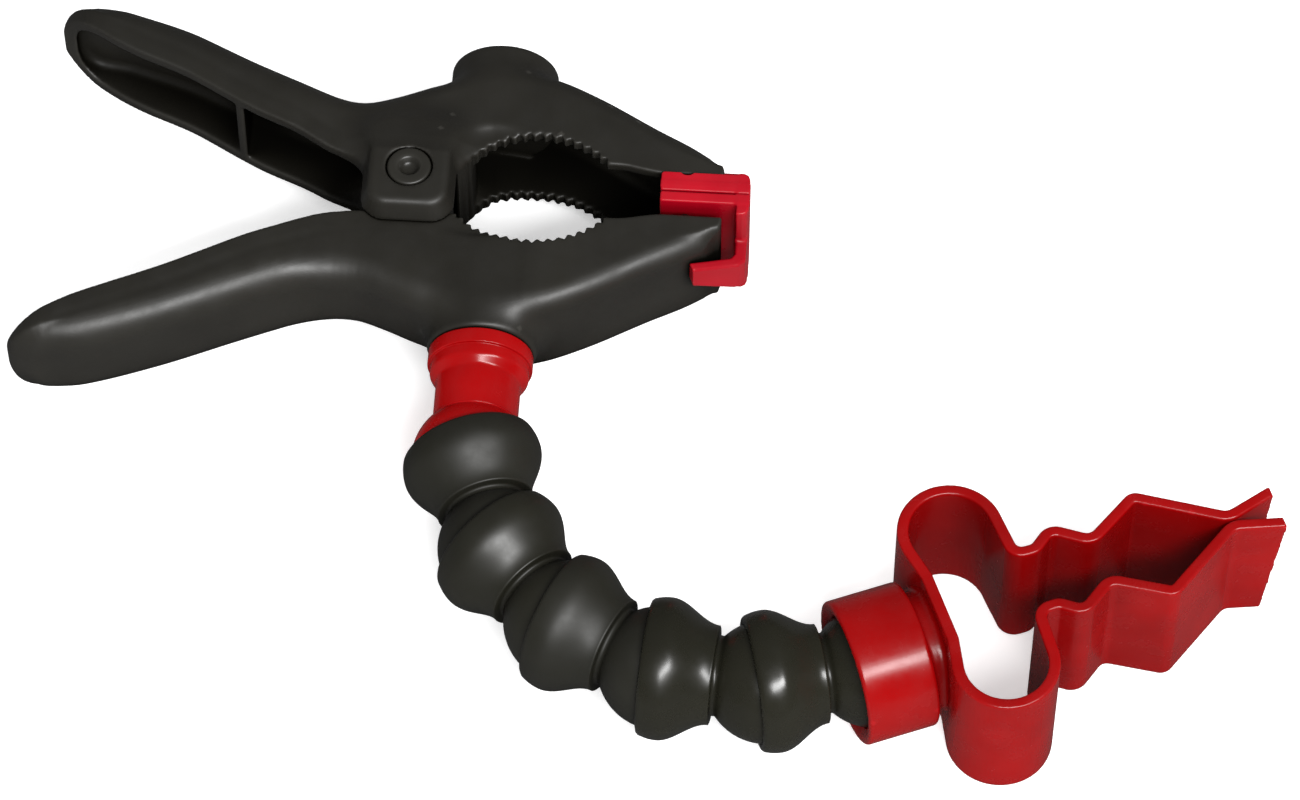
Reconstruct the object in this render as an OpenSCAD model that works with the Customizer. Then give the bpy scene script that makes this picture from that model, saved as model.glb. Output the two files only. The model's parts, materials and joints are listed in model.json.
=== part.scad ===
// Holder stand for an airbrush: a spring clamp, a ball-and-socket hose arm and a spring clip.
// The clamp lies on its side. Its pivot axis is +Z, +X runs along it towards the jaws and
// the arm leaves the front lever towards -Y. The origin is on the pivot axis, where the
// stand rests (z = 0).

/* [Clamp] */
// Height of the middle plane of clamp, hose and clip above the resting face
mid_z = 15; // [15:0.1:15.4]
// Half thickness of the levers at the pivot
hub_half = 10; // [9.5:0.1:10]
// Half thickness of the levers along the handles
handle_half = 11; // [10:0.1:11.5]
// Half thickness of the levers along the jaws
jaw_half = 11.8; // [11:0.1:12]
// Wall thickness of the hollow levers
wall = 2.4; // [2:0.1:2.6]
// Rounding of the outer edges along the handles
edge_r = 5.5; // [3.5:0.5:5.5]
// Rounding of the outer edges along the jaws
jaw_edge_r = 4; // [2:0.5:4]
// Distance between two gripping teeth
tooth_pitch = 2; // [1.8:0.1:3]

// Distance by which the jaws meet in front of the pivot axis
jaw_shift = 1.3; // [0:0.1:1.5]

/* [Pivot] */
// Radius of the pivot rivet
pin_r = 3; // [2.5:0.1:3]
// Radial play of the rivet in its bores
pin_play = 0.05; // [0.03:0.01:0.1]
// Radius of the front lever's knuckle
knuckle_r = 8.2; // [7.8:0.1:8.4]
// Wire diameter of the spring
spring_wire = 2; // [1.6:0.1:2.2]

/* [Bosses] */
// Distance of the boss axes from the pivot, along the clamp
boss_x = 16.2; // [15:0.1:18]
// Distance of the boss end faces from the middle of the clamp
boss_y = 33; // [31:0.5:34]
// Outer radius of the bosses
boss_r = 10.6; // [10:0.1:10.6]
// Radius of the bore in the bosses
boss_bore_r = 8; // [7:0.1:8.2]
// Depth of the bore in the bosses
boss_bore_depth = 11; // [9:0.5:11]

/* [Jaw pads] */
// Half width of the pads
pad_half = 13; // [12:0.1:14]
// Thickness of the contact plate
pad_plate = 2.3; // [1.8:0.1:2.4]
// Gap between the closed pads
pad_gap = 0.3; // [0.2:0.1:0.6]

/* [Hose arm] */
// Distance between the ball centres of a hose segment
pitch = 20.3; // [20:0.1:22]
// Radius of the balls
ball_r = 11.6; // [11.4:0.1:11.6]
// Play between a ball and its socket
ball_play = 0.05; // [0.03:0.01:0.1]
// Largest radius of a hose segment
bulge_r = 13.5; // [13.3:0.1:14]
// Radius of the passage through the hose
hose_bore_r = 5.5; // [4:0.5:5.5]
// Distance of the first ball centre from the middle of the clamp
first_ball_y = 57.2; // [57:0.1:60]
// Direction of each segment as the arm lies, in degrees from +X
arm_dirs = [-71, -48, -26, -5, 13.5];

/* [Clip] */
// Direction of the clip, in degrees from +X
clip_dir = 22.3; // [10:0.1:30]
// Height of the clip band
clip_h = 30; // [28:1:30]
// Wall thickness of the clip band
clip_wall = 2.2; // [1.8:0.1:2.6]
// Outer radius of the clip's collar
collar_r = 14; // [13.8:0.1:14.5]
// Length of the collar
collar_len = 14; // [13:0.5:15]

/* [Hidden] */
$fn = 64;
eps = 0.01;
// the ears' faces lie in the resting plane
ear_top = mid_z;

// ---- lever outline, seen along the pivot axis; the rear lever has y > 0 ----
tip_x = 61.3;
// the handle closes in half an oval that starts here and ends at the height handle_tip_y
handle_end_x = -66.5;
handle_end_len = 7.8;
handle_tip_y = 36.9;
throat_c = [24.3, -7.9];
throat_r = 19.8;
outer_pts = [[handle_end_x, 40.6], [-59.5, 39.6], [-46.4, 34.7], [-31.4, 27.8], [-22, 23.9], [-14.5, 21.8],
             [-9.5, 21.6], [-4.5, 23.1], [4.5, 26.5], [15.7, 28.8], [26.3, 27.6], [35.7, 23.6],
             [47.9, 16.6], [55, 12.7], [tip_x, 8.4]];
inner_pts = [[handle_end_x, 33], [-61.4, 30], [-46, 22.6], [-31.5, 14.8], [-23.6, 11.3], [-16, 7.6],
             [-9.5, 6.2], [9.4, 5.9], [throat_c[0] - 14.4, 5.7]];
jaw_inner_pts = [[38.2, 6.2], [42, 6.1], [46, 5.2], [49, 4.7], [tip_x, 4.8]];

// ---- hose and clip layout ----
lip_t = -2.8;
lip_r = 12.7;
groove_r = 7.6;
taper_end = [9.4, 10.6];
ball_end = 6.5;
ball_in_collar = 5.5;

// Straight interpolation in a list of [x, y] points.
function lerp_pts(p, x, i = 0) =
    i >= len(p) - 2 || x <= p[i + 1][0]
        ? p[i][1] + (p[i + 1][1] - p[i][1]) * (x - p[i][0]) / (p[i + 1][0] - p[i][0])
        : lerp_pts(p, x, i + 1);
// Slope at point i of a list of [x, y] points.
function slope(p, i) =
    let (a = max(i - 1, 0), b = min(i + 1, len(p) - 1)) (p[b][1] - p[a][1]) / (p[b][0] - p[a][0]);
// Smooth curve through a list of [x, y] points (cubic between each pair).
function smooth(p, x, i = 0) =
    i >= len(p) - 2 || x <= p[i + 1][0]
        ? let (w = p[i + 1][0] - p[i][0], s = (x - p[i][0]) / w, q = 1 - s)
          p[i][1] * q * q * (1 + 2 * s) + p[i + 1][1] * s * s * (1 + 2 * q)
          + w * (slope(p, i) * q * q * s - slope(p, i + 1) * s * s * q)
        : smooth(p, x, i + 1);
function arc_pts(c, r, a0, a1, n) =
    [for (i = [0:n]) let (a = a0 + (a1 - a0) * i / n) c + r * [cos(a), sin(a)]];
function at_angle(a) = [cos(a), sin(a)];

function handle_round(x) = pow(max(0, 1 - pow((handle_end_x - x) / handle_end_len, 2.4)), 1 / 2.4);
// An edge of the handle, carried straight on past its first point and closed towards the tip.
function closing(p, x) = handle_tip_y
    + (p[0][1] + slope(p, 0) * (x - p[0][0]) - handle_tip_y) * handle_round(x);
function outer_y(x) = x < handle_end_x ? closing(outer_pts, x) : smooth(outer_pts, x);
function throat_y(x) = throat_c[1] + sqrt(pow(throat_r, 2) - pow(x - throat_c[0], 2));
function inner_y(x) = x < handle_end_x ? closing(inner_pts, x)
    : x < inner_pts[8][0] ? smooth(inner_pts, x)
    : x < jaw_inner_pts[0][0] ? throat_y(x)
    : lerp_pts(jaw_inner_pts, x);
function ease(t) = let (u = max(0, min(1, t))) u * u * (3 - 2 * u);
// Half thickness: rounded at the handle's end, thinnest at the pivot, thickest along the jaws.
function half_z(x) = x < -65
    ? handle_half * sqrt(max(0.02, 1 - pow((x + 65) / 9.5, 2)))
    : hub_half + (handle_half - hub_half) * ease((-12 - x) / 15) + (jaw_half - hub_half) * ease((x - 12) / 14);
// The front lever ($side = 1) is deeper and longer than the rear lever ($side = -1).
function shift_y(x) = $side * (0.5 + (jaw_shift - 0.5) * ease((x + 24) / 14))
    - 0.45 * (1 - $side) * ease((-44 - x) / 14);
function shift_x(x) = (0.35 - 1.35 * $side) * ease((-30 - x) / 36);
function edge_at(x) = edge_r + (jaw_edge_r - edge_r) * ease((x + 12) / 34);

// One cross-section of a lever at x: flat on the inner side, rounded on the outer edges.
function section(x, out_inset, in_inset, z_inset, r) =
    let (u = x + shift_x(x), s = shift_y(x), y1 = outer_y(x) + s - out_inset, y0 = inner_y(x) + s + in_inset,
         h = half_z(x) - z_inset, rr = max(0.05, min(r, h - 0.05, y1 - y0 - 0.1)), n = 5)
    concat([[u, y0, -h]],
           [for (i = [0:n]) let (a = -90 + 90 * i / n) [u, y1 - rr + rr * cos(a), -h + rr + rr * sin(a)]],
           [for (i = [0:n]) let (a = 90 * i / n) [u, y1 - rr + rr * cos(a), h - rr + rr * sin(a)]],
           [[u, y0, h]]);

// Solid through a list of cross-sections with the same number of points.
module loft(s) {
    m = len(s[0]);
    k = len(s);
    polyhedron(points = [for (c = s) each c],
               faces = concat([[for (j = [0:m - 1]) j]],
                              [for (i = [0:k - 2], j = [0:m - 1])
                                  let (a = i * m + j, b = i * m + (j + 1) % m) each
                                  [[a, a + m, b + m], [a, b + m, b]]],
                              [[for (j = [m - 1:-1:0]) (k - 1) * m + j]]));
}

lever_x = [-74.2, -73.5, -72, -70, -68, -66.5, -65, -60, -54, -46, -38, -31, -25, -19, -14, -9.5, -5,
           0, 5, 9.4, 12, 16, 20, 24.3, 28.5, 32.5, 36, 38.2, 41.5, 46, 52, 57, tip_x];
handle_pocket_x = [-71.6, -70, -67, -63, -57, -49, -41, -36];
inner_pocket_x = [-34.2, -30, -24, -18, -13, -8];
jaw_pocket_x = [11, 16, 20, 24.3, 28.5, 32.5, 36, 38.2, 41.5, 46, 52, 57, 59.8];

module lever_skin() {
    loft([for (x = lever_x) section(x, 0, 0, 0, edge_at(x))]);
}

module pocket(xs) {
    loft([for (x = xs) section(x, wall, -1, wall, max(1, edge_at(x) - wall))]);
}

// Row of rounded notches along the throat, through both side walls.
module teeth() {
    step = tooth_pitch / throat_r * 180 / PI;
    for (a = [48:step:134])
        translate([throat_c[0] + throat_r * cos(a), throat_c[1] + jaw_shift * $side + throat_r * sin(a), 0])
            cylinder(r = tooth_pitch * 0.55, h = 3 * jaw_half, center = true, $fn = 24);
}

boss_foot = 20;
boss_edge = 0.6;
cheek = 2.5;
// Hollow lever without its pivot, y > 0.
module lever_body() {
    difference() {
        union() {
            lever_skin();
            translate([boss_x, 0, 0])
                rotate([-90, 0, 0])
                    translate([0, 0, boss_foot]) {
                        cylinder(r = boss_r, h = boss_y - boss_foot - boss_edge);
                        cylinder(r = boss_r - boss_edge, h = boss_y - boss_foot);
                        translate([0, 0, boss_y - boss_foot - boss_edge])
                            cylinder(r1 = boss_r, r2 = boss_r - boss_edge, h = boss_edge);
                    }
        }
        difference() {
            union() {
                pocket(handle_pocket_x);
                pocket(inner_pocket_x);
                pocket(jaw_pocket_x);
            }
            // floor under the boss bore
            translate([boss_x, 0, 0])
                rotate([-90, 0, 0])
                    translate([0, 0, boss_y - boss_bore_depth - wall])
                        cylinder(r = boss_r, h = 20);
        }
        translate([boss_x, 0, 0])
            rotate([-90, 0, 0])
                translate([0, 0, boss_y - boss_bore_depth])
                    cylinder(r = boss_bore_r, h = boss_bore_depth + 1);
        teeth();
        // way for a spring leg into the handle
        translate([-12, 0, -hub_half + cheek])
            cube([12.5, 12.5, 2 * (hub_half - cheek)]);
    }
    snap_bar();
}

// Bar across the jaw tip that the pad snaps on.
pad_bar = [54, 5.3];
pad_bar_r = 1.5;
module snap_bar() {
    translate([pad_bar[0], pad_bar[1] + jaw_shift * $side, -jaw_half + 1])
        cylinder(r = pad_bar_r, h = 2 * jaw_half - 2, $fn = 32);
}

spring_room_r = 7;
module front_lever() {
    $side = 1;
    color("#2d2b26")
        translate([0, 0, mid_z])
            mirror([0, 1, 0])
                difference() {
                    union() {
                        lever_body();
                        translate([0, 0, -hub_half])
                            cylinder(r = knuckle_r, h = 2 * hub_half);
                    }
                    // room for the spring between the cheeks
                    translate([0, 0, -hub_half + cheek])
                        cylinder(r = spring_room_r, h = 2 * (hub_half - cheek));
                    translate([-12, -12.5, -hub_half + cheek])
                        cube([12.5, 25, 2 * (hub_half - cheek)]);
                    translate([0, 0, -20])
                        cylinder(r = pin_r + pin_play, h = 40);
                }
}

ear_play = 0.15;
ear_half = 9.2;
ear_bevel = 1.6;
ear_corner = 5;
ear_slope_end = 13;
// Outer ear: a raised block round the pivot with round corners; it slopes down into the lever's side.
module ear() {
    foot = hub_half + ear_play;
    hull() {
        for (s = [-1, 1]) {
            translate([s * (ear_half - ear_corner), -ear_half + ear_corner - 0.8, foot])
                cylinder(r1 = ear_corner, r2 = ear_corner - ear_bevel, h = ear_top - foot, $fn = 40);
            translate([s * (ear_half - ear_corner), 2, foot])
                cylinder(r1 = ear_corner, r2 = ear_corner - ear_bevel, h = ear_top - foot, $fn = 40);
            translate([s * (ear_half - ear_corner), ear_slope_end, foot - 2])
                cylinder(r1 = ear_corner, r2 = ear_corner - ear_bevel, h = 2.5, $fn = 40);
        }
    }
}

module rear_lever() {
    $side = -1;
    slab = hub_half + ear_play;
    color("#2d2b26")
        translate([0, 0, mid_z])
            difference() {
                union() {
                    lever_body();
                    ear();
                    mirror([0, 0, 1])
                        ear();
                }
                // room for the front lever's knuckle
                translate([0, 0, -slab])
                    cylinder(r = knuckle_r + 0.8, h = 2 * slab);
                translate([-20, -20, -slab])
                    cube([40, 20, 2 * slab]);
                translate([0, 0, -20])
                    cylinder(r = pin_r + pin_play, h = 40);
                for (s = [0, 1])
                    mirror([0, 0, s])
                        translate([0, 0, ear_top - head_h - 0.1])
                            cylinder(r = head_r + 0.45, h = 5);
            }
}

head_r = 4.3;
head_h = 1.1;
dimple_r = 1.9;
dimple_depth = 1.6;
module pivot_rivet() {
    color("#3c3a36")
        translate([0, 0, mid_z])
            difference() {
                union() {
                    cylinder(r = pin_r, h = 2 * ear_top, center = true);
                    for (s = [0, 1])
                        mirror([0, 0, s])
                            translate([0, 0, ear_top - head_h])
                                cylinder(r = head_r, h = head_h);
                }
                for (s = [0, 1])
                    mirror([0, 0, s])
                        translate([0, 0, ear_top - dimple_depth])
                            cylinder(r1 = 0.8 * dimple_r, r2 = dimple_r, h = dimple_depth + eps);
            }
}

// Round wire along a path; the path never runs parallel to Z.
module wire(path, r, m = 10) {
    k = len(path);
    loft([for (i = [0:k - 1])
        let (d = path[min(i + 1, k - 1)] - path[max(i - 1, 0)], t = d / norm(d),
             b0 = [0, 0, 1] - t[2] * t, b = b0 / norm(b0), n = cross(b, t))
        [for (j = [0:m - 1]) path[i] + r * (n * cos(360 * j / m) + b * sin(360 * j / m))]]);
}

coil_r = 5.2;
coil_half_h = 5;
leg_end = [-29.5, 21.6];
module torsion_spring() {
    reach = norm(leg_end);
    lean = atan2(leg_end[1], leg_end[0]);
    // angle at which the rear leg leaves the coil; the front leg mirrors it
    leave = lean - acos(coil_r / reach);
    sweep_a = 1440 + 2 * leave;
    n = 100;
    color("#8d8f90")
        translate([0, 0, mid_z])
            wire(concat([[leg_end[0], -leg_end[1], -coil_half_h]],
                        [for (i = [0:n]) let (a = -leave + sweep_a * i / n)
                            [coil_r * cos(a), coil_r * sin(a), coil_half_h * (2 * i / n - 1)]],
                        [[leg_end[0], leg_end[1], coil_half_h]]),
                 spring_wire / 2);
}

pad_x0 = 49;
pad_x1 = 66.3;
nose_wall = 2.4;
nose_top = 4.8;
pad_knuckle_r = 2.7;
pad_knuckle_half = 6;
pad_cheek = 1;
// Jaw pad as it sits on the rear jaw: plate, nose wall, side cheek, snap knuckle and hooked tongue.
module pad() {
    y0 = pad_gap / 2;
    difference() {
        union() {
            translate([pad_x0, y0, -pad_half])
                cube([pad_x1 - pad_x0, pad_plate, 2 * pad_half]);
            translate([pad_x1 - nose_wall, y0, -pad_half])
                cube([nose_wall, nose_top - y0, 2 * pad_half]);
            translate([0, 0, pad_half - pad_cheek])
                linear_extrude(pad_cheek)
                    polygon([[pad_x0, y0], [pad_x0, 4.4], [pad_x1 - 1, 4.4], [pad_x1 - 1, y0]]);
            translate([0, 0, -pad_knuckle_half])
                linear_extrude(2 * pad_knuckle_half)
                    polygon([[pad_bar[0] - pad_knuckle_r, y0 + 1],
                             [pad_bar[0] - pad_knuckle_r, pad_bar[1]],
                             [pad_bar[0] + pad_knuckle_r, pad_bar[1]],
                             [pad_bar[0] + pad_knuckle_r, y0 + 1]]);
            translate([pad_bar[0], pad_bar[1], -pad_knuckle_half])
                cylinder(r = pad_knuckle_r, h = 2 * pad_knuckle_half, $fn = 40);
            // tongue: hooked over the jaw and slanting across it
            intersection() {
                translate([0, 0, -pad_half])
                    linear_extrude(2 * pad_half)
                        polygon([[pad_x1 - nose_wall, nose_top - 1], [pad_x1, nose_top - 1], [pad_x1, 9],
                                 [64.9, 10.5], [56.2, 14.6], [55.4, 13], [63.2, 9.2], [pad_x1 - nose_wall, 8]]);
                rotate([-90, 0, 0])
                    linear_extrude(20)
                        polygon([[pad_x1, -3.4], [64, -3.9], [55, -7.7], [55, -2.3], [64, 4], [pad_x1, 4.4]]);
            }
        }
        translate([pad_bar[0], pad_bar[1], -jaw_half])
            cylinder(r = pad_bar_r + pin_play, h = 2 * jaw_half, $fn = 40);
        // mouth through which the knuckle snaps over the bar
        translate([pad_bar[0] - 1.2, pad_bar[1], -jaw_half])
            cube([2.4, 5, 2 * jaw_half]);
    }
}

module rear_jaw_pad() {
    color("#b81420")
        translate([0, -jaw_shift, mid_z])
            pad();
}

module front_jaw_pad() {
    color("#b81420")
        translate([0, -jaw_shift, mid_z])
            rotate([180, 0, 0])
                pad();
}

// Puts an axis along +Z onto the direction a in the middle plane, at the point p.
module along(p, a) {
    translate([p[0], p[1], mid_z])
        rotate([0, 90, a])
            children();
}

// Ball on a neck that ends at the height neck_z; the ball's centre is at height c.
module ball(c) {
    intersection() {
        translate([0, 0, c])
            sphere(r = ball_r, $fn = 72);
        translate([0, 0, c - 9.4])
            cylinder(r = ball_r + 1, h = 9.4 + ball_end);
    }
}

neck_z = pitch - 7.5;
// Centres of the balls along the arm.
function ball_centre(i) = i == 0
    ? [boss_x, -first_ball_y]
    : ball_centre(i - 1) + pitch * at_angle(arm_dirs[i - 1]);

plug_neck_r = 8.2;
module hose_connector() {
    flange_z = boss_y + 0.2;
    c = first_ball_y;
    color("#b9000c")
        translate([boss_x, 0, mid_z])
            rotate([90, 0, 0])
                difference() {
                    union() {
                        translate([0, 0, boss_y - boss_bore_depth + 0.5])
                            cylinder(r = boss_bore_r - 0.05, h = boss_bore_depth);
                        translate([0, 0, flange_z])
                            cylinder(r = 10.2, h = 3.2);
                        translate([0, 0, flange_z + 3])
                            cylinder(r = 9.6, h = 2.4);
                        translate([0, 0, flange_z + 5.4])
                            cylinder(r1 = 9.6, r2 = plug_neck_r, h = 1.6);
                        translate([0, 0, flange_z + 6])
                            cylinder(r = plug_neck_r, h = c - 7 - flange_z - 6);
                        ball(c);
                    }
                    translate([0, 0, boss_y - boss_bore_depth])
                        cylinder(r = hose_bore_r, h = 60);
                }
}

// Outer radius of a segment at the distance t from its socket centre.
function segment_r(t) = t < 1
    ? bulge_r - (bulge_r - lip_r) * pow((t - 1) / (lip_t - 1), 2)
    : taper_end[0] + (bulge_r - taper_end[0]) * (1 + cos(180 * (t - 1) / (taper_end[1] - 1))) / 2;

module hose_segment(i) {
    steps = [for (t = [lip_t:1.25:taper_end[1]]) t];
    color("#24231d")
        along(ball_centre(i), arm_dirs[i])
            difference() {
                union() {
                    rotate_extrude()
                        polygon(concat([[0, lip_t]], [for (t = steps) [segment_r(t), t]],
                                       [taper_end, [groove_r, taper_end[1]], [groove_r, neck_z],
                                        [0, neck_z]]));
                    ball(pitch);
                }
                sphere(r = ball_r + ball_play, $fn = 72);
                translate([0, 0, -20])
                    cylinder(r = hose_bore_r, h = 60);
            }
}

// Rounded open path: each inner vertex [x, y, r] becomes an arc of radius r.
function fillet(a, v, b, n = 5) =
    let (p = [v[0], v[1]], d0 = [a[0], a[1]] - p, d1 = [b[0], b[1]] - p, u0 = d0 / norm(d0), u1 = d1 / norm(d1),
         half = acos(u0 * u1) / 2, cut = v[2] / tan(half), m = (u0 + u1) / norm(u0 + u1),
         c = p + m * v[2] / sin(half), s = p + u0 * cut - c, e = p + u1 * cut - c,
         a0 = atan2(s[1], s[0]), a1 = atan2(e[1], e[0]), da = a1 - a0,
         turn = da > 180 ? da - 360 : da < -180 ? da + 360 : da)
    arc_pts(c, v[2], a0, a0 + turn, n);
function rounded(v) = [for (i = [1:len(v) - 2]) each fillet(v[i - 1], v[i], v[i + 1])];

// Normal of a path at point i.
function path_n(p, i) = let (d = p[min(i + 1, len(p) - 1)] - p[max(i - 1, 0)]) [-d[1], d[0]] / norm(d);
// Band of width w along a path, as one polygon.
module band(p, w) {
    polygon(concat([for (i = [0:len(p) - 1]) p[i] + path_n(p, i) * w / 2],
                   [for (i = [len(p) - 1:-1:0]) p[i] - path_n(p, i) * w / 2]));
}

web_u = 18.3;
lobe_c = [25.9, 14.8];
lobe_r = 9;
arm_verts = [[34.9, 15, 0], [35.4, 6.3, 2.4], [39.6, 6.2, 2.4], [43.6, 9.2, 2.6], [50.3, 4.5, 3],
             [60.8, 10.8, 1.6], [76.3, 1.0, 3.5], [86, 3.6, 0]];
clip_arm = concat([[web_u, 0], [web_u, 7], [17.6, 10.5]], arc_pts(lobe_c, lobe_r, 190, 0, 22), rounded(arm_verts),
                  [[86, 3.6]]);

module airbrush_clip() {
    socket_z = ball_in_collar;
    back_z = 15.2;
    color("#b9000c")
        along(ball_centre(5) - ball_in_collar * at_angle(clip_dir), clip_dir)
            difference() {
                union() {
                    cylinder(r = collar_r, h = collar_len);
                    cylinder(r = collar_r - 2.6, h = web_u);
                    rotate([0, -90, 0])
                        translate([0, 0, -clip_h / 2])
                            linear_extrude(clip_h)
                                for (s = [0, 1])
                                    mirror([0, s])
                                        band(clip_arm, clip_wall);
                }
                intersection() {
                    translate([0, 0, socket_z])
                        sphere(r = ball_r + ball_play, $fn = 72);
                    cylinder(r = collar_r, h = back_z);
                }
                // flared mouth of the socket
                translate([0, 0, -eps])
                    cylinder(r1 = 12.5, r2 = 10.7, h = 1.2);
            }
}

front_lever();
rear_lever();
pivot_rivet();
torsion_spring();
front_jaw_pad();
rear_jaw_pad();
hose_connector();
hose_segment(0);  // hose_segment_1
hose_segment(1);  // hose_segment_2
hose_segment(2);  // hose_segment_3
hose_segment(3);  // hose_segment_4
hose_segment(4);  // hose_segment_5
airbrush_clip();
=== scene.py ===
import json
import math

import bpy
import numpy as np
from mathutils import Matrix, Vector


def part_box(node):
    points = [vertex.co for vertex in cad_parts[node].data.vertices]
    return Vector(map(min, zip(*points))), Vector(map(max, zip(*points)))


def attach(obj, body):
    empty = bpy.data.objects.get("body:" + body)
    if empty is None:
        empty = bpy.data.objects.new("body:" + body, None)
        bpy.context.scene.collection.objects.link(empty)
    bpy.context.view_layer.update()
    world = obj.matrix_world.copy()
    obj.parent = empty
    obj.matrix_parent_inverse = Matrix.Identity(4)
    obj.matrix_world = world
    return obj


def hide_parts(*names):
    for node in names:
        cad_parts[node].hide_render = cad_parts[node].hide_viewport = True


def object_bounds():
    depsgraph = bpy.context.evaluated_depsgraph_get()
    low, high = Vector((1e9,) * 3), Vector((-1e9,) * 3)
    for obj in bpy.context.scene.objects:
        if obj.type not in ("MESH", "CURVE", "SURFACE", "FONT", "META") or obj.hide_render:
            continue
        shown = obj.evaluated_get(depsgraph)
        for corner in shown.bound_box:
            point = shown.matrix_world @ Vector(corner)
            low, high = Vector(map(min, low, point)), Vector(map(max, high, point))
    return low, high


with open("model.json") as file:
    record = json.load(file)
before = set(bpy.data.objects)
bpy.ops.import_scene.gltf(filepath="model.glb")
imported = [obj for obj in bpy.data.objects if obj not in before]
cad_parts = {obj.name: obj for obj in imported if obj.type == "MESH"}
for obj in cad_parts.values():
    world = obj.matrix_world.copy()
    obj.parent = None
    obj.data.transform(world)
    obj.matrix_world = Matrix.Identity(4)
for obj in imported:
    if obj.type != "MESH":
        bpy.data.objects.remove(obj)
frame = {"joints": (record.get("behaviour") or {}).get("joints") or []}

cad_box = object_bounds()
MM = 0.001

# ---------- layout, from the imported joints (millimetres) ----------
joints = {j["name"]: j for j in frame["joints"]}


def joint_mm(name):
    return np.array(joints[name]["pos_m"]) / MM


MID_Z = joint_mm("jaw_open")[2]
PAD_BARS = joint_mm("rear_pad_swivel")[:2], joint_mm("front_pad_swivel")[:2]
# the jaws meet this far in front of the pivot axis
JAW_SHIFT = -(PAD_BARS[0][1] + PAD_BARS[1][1]) / 2
PAD_BAR = PAD_BARS[0] + [0, JAW_SHIFT]
BALLS = [joint_mm(n) for n in ("arm_swivel", "bend_2", "bend_3", "bend_4", "bend_5", "clip_twist")]
CLIP_AXIS = np.array(joints["clip_twist"]["axis"])
BOSS_X = BALLS[0][0]
PITCH = float(np.linalg.norm(BALLS[1] - BALLS[0]))
CLIP_HALF = (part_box("airbrush_clip")[1][2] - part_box("airbrush_clip")[0][2]) / MM / 2
PAD_HALF = (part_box("rear_jaw_pad")[1][2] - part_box("rear_jaw_pad")[0][2]) / MM / 2
FRONT_BOX = np.array(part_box("front_lever")) / MM
REAR_BOX = np.array(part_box("rear_lever")) / MM
TIP_X = FRONT_BOX[1][0]

# ---------- clamp sizes (millimetres; the rear lever has y > 0, z from the middle plane) ----------
HUB_HALF = 10.0
HANDLE_HALF = 11.0
JAW_HALF = 11.8
WALL = 2.4
EDGE_R = 5.6
JAW_EDGE_R = 4.2
RIM_R = 0.5
TOOTH_PITCH, TOOTH_DEPTH = 2.0, 1.0
THROAT = (24.3, -7.9, 19.8)
THROAT_START = (THROAT[0] - 14.4, 5.7)
# first and last notch of the throat, as angles round its centre
TOOTH_FROM, TOOTH_SPAN = math.radians(48), math.radians(86)
# the handle closes in half an oval: where it starts, how long it is, the height of its tip and its power
HANDLE_END_X, HANDLE_END_LEN, HANDLE_TIP_Y, OVAL = -66.5, 7.8, 36.9, 2.4
# the handle's width closes in the same way
WIDTH_END_X, WIDTH_END_LEN, WIDTH_OVAL = -65.0, 9.5, 2.2
OUTER = [(-66.5, 40.6), (-59.5, 39.6), (-46.4, 34.7), (-31.4, 27.8), (-22, 23.9), (-14.5, 21.8),
         (-9.5, 21.6), (-4.5, 23.1), (4.5, 26.5), (15.7, 28.8), (26.3, 27.6), (35.7, 23.6),
         (47.9, 16.6), (55, 12.7), (61.3, 8.4)]
INNER = [(-66.5, 33), (-61.4, 30), (-46, 22.6), (-31.5, 14.8), (-23.6, 11.3), (-16, 7.6),
         (-9.5, 6.2), (9.4, 5.9)]
JAW_INNER = [(38.2, 6.2), (42, 6.1), (46, 5.2), (49, 4.7), (61.3, 4.8)]
BOSS = dict(r=10.6, foot=20.0, end=33.0, bore_r=8.0, bore_depth=11.0)
KNUCKLE_R, COIL_ROOM_R = 8.2, 7.0
EAR_HALF, EAR_CORNER, EAR_BEVEL, EAR_Z0, EAR_Z1 = 9.2, 5.0, 1.6, 10.15, 15.0
# how far the ear's block reaches outwards and past the pivot
EAR_OUT, EAR_IN = 14.0, 10.0
PIN_R = 3.05
# the handles lie this far in front of the pivot axis; the rear one's end goes on by twice REAR_END_SHIFT
HANDLE_SHIFT, REAR_END_SHIFT = 0.5, 0.45
# both handles are shorter than the outline by the first value; by the second the front one is longer
# again and the rear one shorter still
BOTH_SHORTER, FRONT_LONGER = 0.35, 1.35
# stretches over which the lever changes, as (start, length); a negative length runs towards the handle
HANDLE_FLARE, JAW_FLARE = (-12, -15), (12, 14)
SHIFT_FORWARD, SHIFT_REAR_END, CHANGE_LENGTH, CHANGE_EDGE = (-24, 14), (-44, -14), (-30, -36), (-12, 34)
# parts of the lever that stay solid between its pockets, along x
RIB_X, RIB_HALF = -35.1, 0.9
SOLID_HUB, SOLID_TIP = (-8, 11), (TIP_X - 1.5, TIP_X + 5)
# thickness of the hub's walls beside the room for the spring, and the way of the spring's legs
CHEEK = 2.5
LEG_WAY_X, LEG_WAY_Y = (-12, 0.5), 12.5
# recess for the rivet's head, and the slope of the ear's top behind it
HEAD_ROOM_R, HEAD_ROOM_DEPTH = 4.6, 1.2
EAR_SLOPE, EAR_SLOPE_Y = 0.42, 4


# ---------- signed distances in millimetres, negative inside; x, y, z broadcast ----------
def smin(a, b, k):
    h = np.maximum(k - np.abs(a - b), 0) / k
    return np.minimum(a, b) - h * h * k / 4


def smax(a, b, k):
    return -smin(-a, -b, k)


def corner(a, b, r):
    """Where a and b are both negative, with the edge between them rounded to radius r."""
    return np.minimum(np.maximum(a + r, b + r), 0) + np.hypot(np.maximum(a + r, 0), np.maximum(b + r, 0)) - r


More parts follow.
